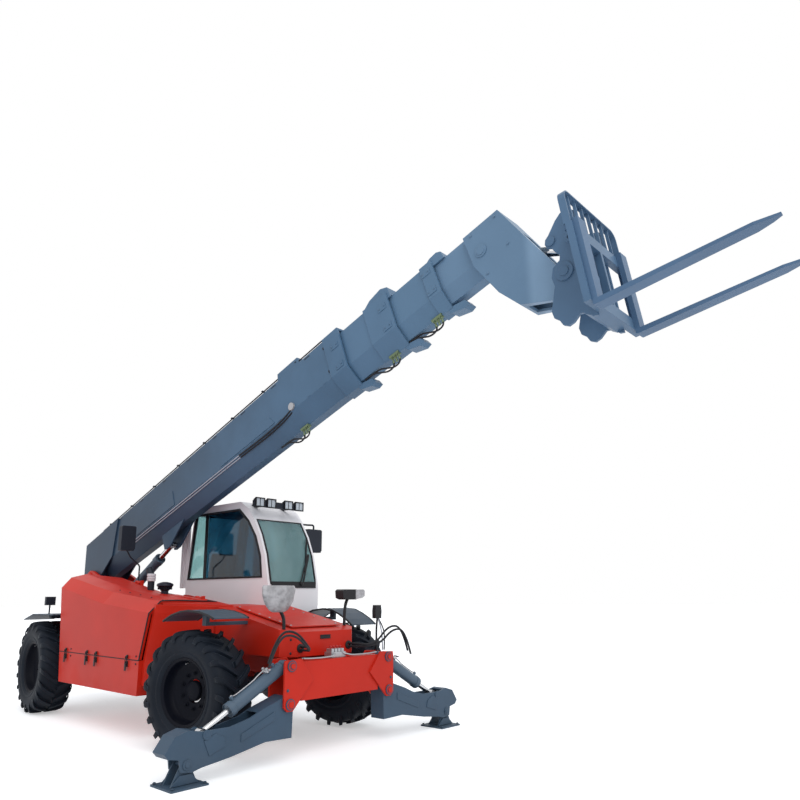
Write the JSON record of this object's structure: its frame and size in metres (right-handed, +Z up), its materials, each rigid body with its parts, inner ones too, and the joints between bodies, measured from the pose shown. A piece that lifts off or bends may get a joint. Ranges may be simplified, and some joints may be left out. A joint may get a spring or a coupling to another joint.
{
  "type": "telehandler",
  "caption": "Four-wheel-steer telehandler with a telescopic boom, fork carriage, closed side cab and swinging front stabilisers.",
  "frame": {"origin": "middle of the machine's bounding box, on the ground under it", "axes": "+X forward along the boom and forks, +Y to the machine's left (cab side), +Z up"},
  "size_m": [9.8518, 3.79, 4.8884],
  "materials": {
    "body_red": "semi-gloss enamel",
    "boom_grey": "satin enamel",
    "cab_white": "semi-gloss enamel",
    "glass": "clear, tinted green",
    "dark_steel": "satin enamel",
    "rim_dark": "satin enamel",
    "tyre": "worn, dusty",
    "chrome": "polished",
    "black_plastic": "textured",
    "lamp_grey": "glossy",
    "seat_fabric": "woven",
    "hose": "matte",
    "engine_iron": "rough"
  },
  "bodies": {
    "chassis": {"front_axle": "dark_steel", "rear_axle": "dark_steel", "chassis_frame": "body_red", "nose_body": "body_red", "stabiliser_beam": "body_red", "hood_base": "body_red", "engine_block": "engine_iron", "cab_roof": "cab_white", "cab_frame": "cab_white", "cab_glass": "glass", "seat": "seat_fabric", "dashboard": "black_plastic", "steering_wheel": "black_plastic", "cab_sill": "body_red", "access_steps": "dark_steel", "side_tanks": "dark_steel", "battery_box": "dark_steel", "light_bar": "black_plastic", "mirrors": "black_plastic", "front_lamps": "lamp_grey", "fenders": "black_plastic", "rear_lamps": "black_plastic", "tow_hitch": "dark_steel", "stabiliser_hoses": "hose"},
    "cab_door": {"cab_door": "cab_white", "door_glass": "glass"},
    "hood_lid": {"hood_lid": "body_red", "pre_cleaner": "black_plastic"},
    "boom_base": {"boom_base": "boom_grey"},
    "boom_second": {"boom_second": "boom_grey"},
    "boom_third": {"boom_third": "boom_grey"},
    "boom_fourth": {"boom_fourth": "boom_grey"},
    "carriage": {"carriage": "boom_grey", "forks": "dark_steel"},
    "tilt_barrel": {"tilt_barrel": "dark_steel"},
    "tilt_rod": {"tilt_rod": "chrome"},
    "lift_barrel": {"lift_barrel": "dark_steel"},
    "lift_rod": {"lift_rod": "chrome"},
    "knuckle_front_left": {"knuckle_front_left": "dark_steel"},
    "wheel_front_left": {"rim_front_left": "rim_dark", "tyre_front_left": "tyre"},
    "knuckle_front_right": {"knuckle_front_right": "dark_steel"},
    "wheel_front_right": {"rim_front_right": "rim_dark", "tyre_front_right": "tyre"},
    "knuckle_rear_left": {"knuckle_rear_left": "dark_steel"},
    "wheel_rear_left": {"rim_rear_left": "rim_dark", "tyre_rear_left": "tyre"},
    "knuckle_rear_right": {"knuckle_rear_right": "dark_steel"},
    "wheel_rear_right": {"rim_rear_right": "rim_dark", "tyre_rear_right": "tyre"},
    "stabiliser_leg_left": {"stabiliser_leg_left": "boom_grey"},
    "stabiliser_foot_left": {"stabiliser_foot_left": "boom_grey"},
    "stabiliser_barrel_left": {"stabiliser_barrel_left": "dark_steel"},
    "stabiliser_rod_left": {"stabiliser_rod_left": "chrome"},
    "stabiliser_leg_right": {"stabiliser_leg_right": "boom_grey"},
    "stabiliser_foot_right": {"stabiliser_foot_right": "boom_grey"},
    "stabiliser_barrel_right": {"stabiliser_barrel_right": "dark_steel"},
    "stabiliser_rod_right": {"stabiliser_rod_right": "chrome"}
  },
  "joints": [
    {"name": "boom_lift", "type": "hinge", "parent": "chassis", "child": "boom_base", "pos_m": [-4.61025, 0, 1.75], "axis": [0, -1, 0], "range_deg": [-22.6, 46.9]},
    {"name": "telescope_second", "type": "slide", "parent": "boom_base", "child": "boom_second", "axis": [0.9391, 0, 0.3437], "range_m": [-0.09, 3.1]},
    {"name": "telescope_third", "type": "slide", "parent": "boom_second", "child": "boom_third", "axis": [0.9391, 0, 0.3437], "range_m": [-0.09, 3.1]},
    {"name": "telescope_fourth", "type": "slide", "parent": "boom_third", "child": "boom_fourth", "axis": [0.9391, 0, 0.3437], "range_m": [-0.09, 3.1]},
    {"name": "fork_tilt", "type": "hinge", "parent": "boom_fourth", "child": "carriage", "pos_m": [3.34993, 0, 4.03901], "axis": [0, -1, 0], "range_deg": [-75, 25]},
    {"name": "tilt_cylinder_swing", "type": "hinge", "parent": "boom_fourth", "child": "tilt_barrel", "pos_m": [2.49913, 0, 4.55399], "axis": [0, -1, 0], "range_deg": [-2, 5]},
    {"name": "tilt_rod_slide", "type": "slide", "parent": "tilt_barrel", "child": "tilt_rod", "axis": [0.9603, 0, -0.2788], "range_m": [-0.12417, 0.36852]},
    {"name": "lift_cylinder_swing", "type": "hinge", "parent": "chassis", "child": "lift_barrel", "pos_m": [-4.26025, 0, 1.33], "axis": [0, -1, 0], "range_deg": [-22.54, 46.23]},
    {"name": "lift_rod_slide", "type": "slide", "parent": "lift_barrel", "child": "lift_rod", "axis": [0.8654, 0, 0.501], "range_m": [-0.24261, 0.50132]},
    {"name": "front_steering_left", "type": "hinge", "parent": "chassis", "child": "knuckle_front_left", "pos_m": [-0.46025, 0.85, 0.585], "axis": [0, 0, 1], "range_deg": [-41.5, 22.5]},
    {"name": "front_wheel_left", "type": "hinge", "parent": "knuckle_front_left", "child": "wheel_front_left", "pos_m": [-0.48501, 0.99794, 0.585], "axis": [-0.165, 0.9863, 0], "continuous": true},
    {"name": "front_steering_right", "type": "hinge", "parent": "chassis", "child": "knuckle_front_right", "pos_m": [-0.46025, -0.85, 0.585], "axis": [0, 0, 1], "range_deg": [-41.5, 22.5]},
    {"name": "front_wheel_right", "type": "hinge", "parent": "knuckle_front_right", "child": "wheel_front_right", "pos_m": [-0.43549, -0.99794, 0.585], "axis": [-0.165, 0.9863, 0], "continuous": true},
    {"name": "rear_steering_left", "type": "hinge", "parent": "chassis", "child": "knuckle_rear_left", "pos_m": [-4.08525, 0.85, 0.585], "axis": [0, 0, 1], "range_deg": [-27.2, 36.8]},
    {"name": "rear_wheel_left", "type": "hinge", "parent": "knuckle_rear_left", "child": "wheel_rear_left", "pos_m": [-4.0727, 0.99947, 0.585], "axis": [0.0837, 0.9965, 0], "continuous": true},
    {"name": "rear_steering_right", "type": "hinge", "parent": "chassis", "child": "knuckle_rear_right", "pos_m": [-4.08525, -0.85, 0.585], "axis": [0, 0, 1], "range_deg": [-27.2, 36.8]},
    {"name": "rear_wheel_right", "type": "hinge", "parent": "knuckle_rear_right", "child": "wheel_rear_right", "pos_m": [-4.0978, -0.99947, 0.585], "axis": [0.0837, 0.9965, 0], "continuous": true},
    {"name": "stabiliser_raise_left", "type": "hinge", "parent": "chassis", "child": "stabiliser_leg_left", "pos_m": [0.47775, 0.67, 0.515], "axis": [1, 0, 0], "range_deg": [0, 44]},
    {"name": "foot_swing_left", "type": "hinge", "parent": "stabiliser_leg_left", "child": "stabiliser_foot_left", "pos_m": [0.47775, 1.69, 0.17], "axis": [1, 0, 0], "range_deg": [-12, 12]},
    {"name": "stabiliser_cylinder_swing_left", "type": "hinge", "parent": "chassis", "child": "stabiliser_barrel_left", "pos_m": [0.47775, 0.66, 0.855], "axis": [1, 0, 0], "range_deg": [-0.5, 41.42]},
    {"name": "stabiliser_rod_slide_left", "type": "slide", "parent": "stabiliser_barrel_left", "child": "stabiliser_rod_left", "axis": [0, 0.8732, -0.4874], "range_m": [-0.25281, 0.002]},
    {"name": "stabiliser_raise_right", "type": "hinge", "parent": "chassis", "child": "stabiliser_leg_right", "pos_m": [0.47775, -0.67, 0.515], "axis": [-1, 0, 0], "range_deg": [0, 44]},
    {"name": "foot_swing_right", "type": "hinge", "parent": "stabiliser_leg_right", "child": "stabiliser_foot_right", "pos_m": [0.47775, -1.69, 0.17], "axis": [-1, 0, 0], "range_deg": [-12, 12]},
    {"name": "stabiliser_cylinder_swing_right", "type": "hinge", "parent": "chassis", "child": "stabiliser_barrel_right", "pos_m": [0.47775, -0.66, 0.855], "axis": [-1, 0, 0], "range_deg": [-0.5, 41.42]},
    {"name": "stabiliser_rod_slide_right", "type": "slide", "parent": "stabiliser_barrel_right", "child": "stabiliser_rod_right", "axis": [0, -0.8732, -0.4874], "range_m": [-0.25281, 0.002]},
    {"name": "cab_door", "type": "hinge", "parent": "chassis", "child": "cab_door", "pos_m": [-2.76025, 1.13, 1.5], "axis": [0, 0, 1], "range_deg": [0, 95]},
    {"name": "hood_lid", "type": "hinge", "parent": "chassis", "child": "hood_lid", "pos_m": [-2.3714, -0.31, 1.58279], "axis": [-0.9907, 0, 0.136], "range_deg": [0, 48]}
  ],
  "couplings": [
    {"joint": "telescope_third", "follows": "telescope_second", "ratio": 1},
    {"joint": "telescope_fourth", "follows": "telescope_second", "ratio": 1},
    {"joint": "tilt_cylinder_swing", "follows": "fork_tilt", "ratio": -0.06},
    {"joint": "tilt_rod_slide", "follows": "fork_tilt", "m_per_rad": -0.28},
    {"joint": "lift_cylinder_swing", "follows": "boom_lift", "ratio": 0.975},
    {"joint": "lift_rod_slide", "follows": "boom_lift", "m_per_rad": 0.61},
    {"joint": "front_steering_left", "follows": "front_steering_right", "ratio": 1},
    {"joint": "rear_steering_left", "follows": "rear_steering_right", "ratio": 1},
    {"joint": "stabiliser_cylinder_swing_left", "follows": "stabiliser_raise_left", "ratio": 0.93},
    {"joint": "stabiliser_rod_slide_left", "follows": "stabiliser_raise_left", "m_per_rad": -0.3266},
    {"joint": "stabiliser_cylinder_swing_right", "follows": "stabiliser_raise_right", "ratio": 0.93},
    {"joint": "stabiliser_rod_slide_right", "follows": "stabiliser_raise_right", "m_per_rad": -0.3266}
  ]
}
